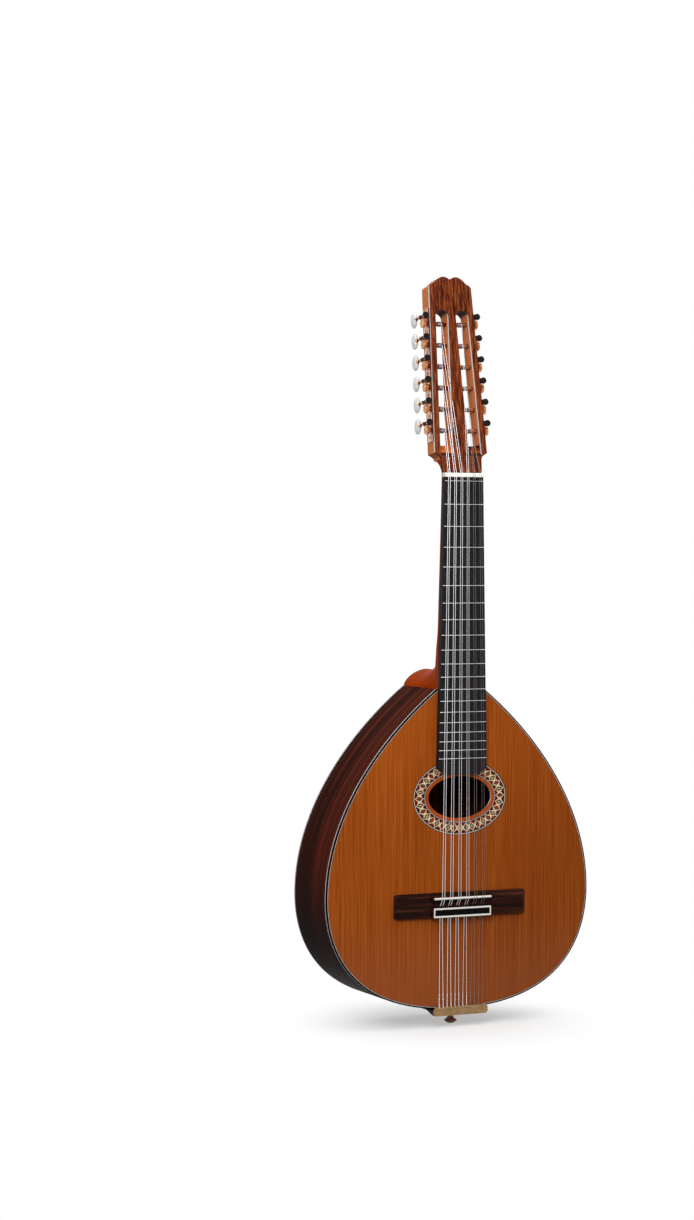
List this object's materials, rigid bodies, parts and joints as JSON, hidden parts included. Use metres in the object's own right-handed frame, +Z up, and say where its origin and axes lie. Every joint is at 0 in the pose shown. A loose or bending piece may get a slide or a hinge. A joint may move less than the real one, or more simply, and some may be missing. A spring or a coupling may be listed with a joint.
{
  "type": "laud",
  "caption": "Spanish laud with a pear-shaped body, oval soundhole, mosaic rosette, slotted head, paired strings over a low bridge and a brass tailpiece.",
  "frame": {"origin": "where the zero fret crosses the centre line, on the glue plane between neck and fingerboard, which is also the front plane of the soundboard", "axes": "+Z up the strings from the body to the head, -Y out of the front towards the player's right hand, +X to the right as seen from the front (treble side)"},
  "size_m": [0.353, 0.1059, 0.9039],
  "materials": {
    "cedar_top": "gloss varnish",
    "cedar_neck": "gloss varnish",
    "rosewood": "gloss varnish",
    "rosewood_head": "gloss varnish",
    "ebony": "oiled",
    "spruce": "bare",
    "binding": "gloss varnish",
    "mosaic": "gloss varnish",
    "bone": "polished",
    "brass": "satin",
    "gilt": "polished",
    "pearloid": "polished pearl",
    "wound_string": "silver-plated winding",
    "plain_string": "bright wire"
  },
  "bodies": {
    "laud": {"soundboard": "cedar_top", "rosette": "mosaic", "front_binding": "binding", "back_binding": "binding", "back": "rosewood", "side_left": "rosewood", "side_right": "rosewood", "neck_block": "spruce", "tail_block": "spruce", "soundboard_bar_upper": "spruce", "soundboard_bar_lower": "spruce", "neck": "cedar_neck", "heel_cap": "rosewood", "fingerboard": "ebony", "nut": "bone", "head": "cedar_neck", "head_veneer": "rosewood_head", "tuner_plate_left": "brass", "tuner_plate_right": "brass", "string_6a": "wound_string", "string_6b": "wound_string", "string_5a": "wound_string", "string_5b": "wound_string", "string_4a": "wound_string", "string_4b": "wound_string", "string_3a": "wound_string", "string_3b": "wound_string", "string_2a": "plain_string", "string_2b": "plain_string", "string_1a": "plain_string", "string_1b": "plain_string", "bridge": "rosewood", "saddle": "bone", "tie_block_frame": "bone", "tailpiece": "brass", "end_pin": "rosewood"},
    "tuning_button_left_1": {"tuning_button_left_1": "pearloid"},
    "string_post_left_1": {"string_post_left_1": "gilt"},
    "tuning_button_left_2": {"tuning_button_left_2": "pearloid"},
    "string_post_left_2": {"string_post_left_2": "gilt"},
    "tuning_button_left_3": {"tuning_button_left_3": "pearloid"},
    "string_post_left_3": {"string_post_left_3": "gilt"},
    "tuning_button_left_4": {"tuning_button_left_4": "pearloid"},
    "string_post_left_4": {"string_post_left_4": "gilt"},
    "tuning_button_left_5": {"tuning_button_left_5": "pearloid"},
    "string_post_left_5": {"string_post_left_5": "gilt"},
    "tuning_button_left_6": {"tuning_button_left_6": "pearloid"},
    "string_post_left_6": {"string_post_left_6": "gilt"},
    "tuning_button_right_1": {"tuning_button_right_1": "pearloid"},
    "string_post_right_1": {"string_post_right_1": "gilt"},
    "tuning_button_right_2": {"tuning_button_right_2": "pearloid"},
    "string_post_right_2": {"string_post_right_2": "gilt"},
    "tuning_button_right_3": {"tuning_button_right_3": "pearloid"},
    "string_post_right_3": {"string_post_right_3": "gilt"},
    "tuning_button_right_4": {"tuning_button_right_4": "pearloid"},
    "string_post_right_4": {"string_post_right_4": "gilt"},
    "tuning_button_right_5": {"tuning_button_right_5": "pearloid"},
    "string_post_right_5": {"string_post_right_5": "gilt"},
    "tuning_button_right_6": {"tuning_button_right_6": "pearloid"},
    "string_post_right_6": {"string_post_right_6": "gilt"}
  },
  "joints": [
    {"name": "tuning_button_left_1_turn", "type": "hinge", "parent": "laud", "child": "tuning_button_left_1", "pos_m": [-0.03927, 0.00958, 0.07051], "axis": [0, 0.9877, -0.1564], "continuous": true},
    {"name": "string_post_left_1_turn", "type": "hinge", "parent": "laud", "child": "string_post_left_1", "pos_m": [-0.03395, 0.01455, 0.06094], "axis": [0.9995, -0.0052, -0.0327], "continuous": true},
    {"name": "tuning_button_left_2_turn", "type": "hinge", "parent": "laud", "child": "tuning_button_left_2", "pos_m": [-0.0384, 0.01368, 0.09638], "axis": [0, 0.9877, -0.1564], "continuous": true},
    {"name": "string_post_left_2_turn", "type": "hinge", "parent": "laud", "child": "string_post_left_2", "pos_m": [-0.03308, 0.01864, 0.0868], "axis": [0.9995, -0.0052, -0.0327], "continuous": true},
    {"name": "tuning_button_left_3_turn", "type": "hinge", "parent": "laud", "child": "tuning_button_left_3", "pos_m": [-0.03753, 0.01778, 0.12224], "axis": [0, 0.9877, -0.1564], "continuous": true},
    {"name": "string_post_left_3_turn", "type": "hinge", "parent": "laud", "child": "string_post_left_3", "pos_m": [-0.03222, 0.02274, 0.11266], "axis": [0.9995, -0.0052, -0.0327], "continuous": true},
    {"name": "tuning_button_left_4_turn", "type": "hinge", "parent": "laud", "child": "tuning_button_left_4", "pos_m": [-0.03666, 0.02187, 0.1481], "axis": [0, 0.9877, -0.1564], "continuous": true},
    {"name": "string_post_left_4_turn", "type": "hinge", "parent": "laud", "child": "string_post_left_4", "pos_m": [-0.03135, 0.02684, 0.13853], "axis": [0.9995, -0.0052, -0.0327], "continuous": true},
    {"name": "tuning_button_left_5_turn", "type": "hinge", "parent": "laud", "child": "tuning_button_left_5", "pos_m": [-0.03579, 0.02597, 0.17397], "axis": [0, 0.9877, -0.1564], "continuous": true},
    {"name": "string_post_left_5_turn", "type": "hinge", "parent": "laud", "child": "string_post_left_5", "pos_m": [-0.03048, 0.03093, 0.16439], "axis": [0.9995, -0.0052, -0.0327], "continuous": true},
    {"name": "tuning_button_left_6_turn", "type": "hinge", "parent": "laud", "child": "tuning_button_left_6", "pos_m": [-0.03492, 0.03007, 0.19983], "axis": [0, 0.9877, -0.1564], "continuous": true},
    {"name": "string_post_left_6_turn", "type": "hinge", "parent": "laud", "child": "string_post_left_6", "pos_m": [-0.02961, 0.03503, 0.19025], "axis": [0.9995, -0.0052, -0.0327], "continuous": true},
    {"name": "tuning_button_right_1_turn", "type": "hinge", "parent": "laud", "child": "tuning_button_right_1", "pos_m": [0.03927, 0.00958, 0.07051], "axis": [0, 0.9877, -0.1564], "continuous": true},
    {"name": "string_post_right_1_turn", "type": "hinge", "parent": "laud", "child": "string_post_right_1", "pos_m": [0.03395, 0.01455, 0.06094], "axis": [0.9995, 0.0052, 0.0327], "continuous": true},
    {"name": "tuning_button_right_2_turn", "type": "hinge", "parent": "laud", "child": "tuning_button_right_2", "pos_m": [0.0384, 0.01368, 0.09638], "axis": [0, 0.9877, -0.1564], "continuous": true},
    {"name": "string_post_right_2_turn", "type": "hinge", "parent": "laud", "child": "string_post_right_2", "pos_m": [0.03308, 0.01864, 0.0868], "axis": [0.9995, 0.0052, 0.0327], "continuous": true},
    {"name": "tuning_button_right_3_turn", "type": "hinge", "parent": "laud", "child": "tuning_button_right_3", "pos_m": [0.03753, 0.01778, 0.12224], "axis": [0, 0.9877, -0.1564], "continuous": true},
    {"name": "string_post_right_3_turn", "type": "hinge", "parent": "laud", "child": "string_post_right_3", "pos_m": [0.03222, 0.02274, 0.11266], "axis": [0.9995, 0.0052, 0.0327], "continuous": true},
    {"name": "tuning_button_right_4_turn", "type": "hinge", "parent": "laud", "child": "tuning_button_right_4", "pos_m": [0.03666, 0.02187, 0.1481], "axis": [0, 0.9877, -0.1564], "continuous": true},
    {"name": "string_post_right_4_turn", "type": "hinge", "parent": "laud", "child": "string_post_right_4", "pos_m": [0.03135, 0.02684, 0.13853], "axis": [0.9995, 0.0052, 0.0327], "continuous": true},
    {"name": "tuning_button_right_5_turn", "type": "hinge", "parent": "laud", "child": "tuning_button_right_5", "pos_m": [0.03579, 0.02597, 0.17397], "axis": [0, 0.9877, -0.1564], "continuous": true},
    {"name": "string_post_right_5_turn", "type": "hinge", "parent": "laud", "child": "string_post_right_5", "pos_m": [0.03048, 0.03093, 0.16439], "axis": [0.9995, 0.0052, 0.0327], "continuous": true},
    {"name": "tuning_button_right_6_turn", "type": "hinge", "parent": "laud", "child": "tuning_button_right_6", "pos_m": [0.03492, 0.03007, 0.19983], "axis": [0, 0.9877, -0.1564], "continuous": true},
    {"name": "string_post_right_6_turn", "type": "hinge", "parent": "laud", "child": "string_post_right_6", "pos_m": [0.02961, 0.03503, 0.19025], "axis": [0.9995, 0.0052, 0.0327], "continuous": true}
  ],
  "couplings": [
    {"joint": "string_post_left_1_turn", "follows": "tuning_button_left_1_turn", "ratio": 0.071429},
    {"joint": "string_post_left_2_turn", "follows": "tuning_button_left_2_turn", "ratio": 0.071429},
    {"joint": "string_post_left_3_turn", "follows": "tuning_button_left_3_turn", "ratio": 0.071429},
    {"joint": "string_post_left_4_turn", "follows": "tuning_button_left_4_turn", "ratio": 0.071429},
    {"joint": "string_post_left_5_turn", "follows": "tuning_button_left_5_turn", "ratio": 0.071429},
    {"joint": "string_post_left_6_turn", "follows": "tuning_button_left_6_turn", "ratio": 0.071429},
    {"joint": "string_post_right_1_turn", "follows": "tuning_button_right_1_turn", "ratio": 0.071429},
    {"joint": "string_post_right_2_turn", "follows": "tuning_button_right_2_turn", "ratio": 0.071429},
    {"joint": "string_post_right_3_turn", "follows": "tuning_button_right_3_turn", "ratio": 0.071429},
    {"joint": "string_post_right_4_turn", "follows": "tuning_button_right_4_turn", "ratio": 0.071429},
    {"joint": "string_post_right_5_turn", "follows": "tuning_button_right_5_turn", "ratio": 0.071429},
    {"joint": "string_post_right_6_turn", "follows": "tuning_button_right_6_turn", "ratio": 0.071429}
  ]
}
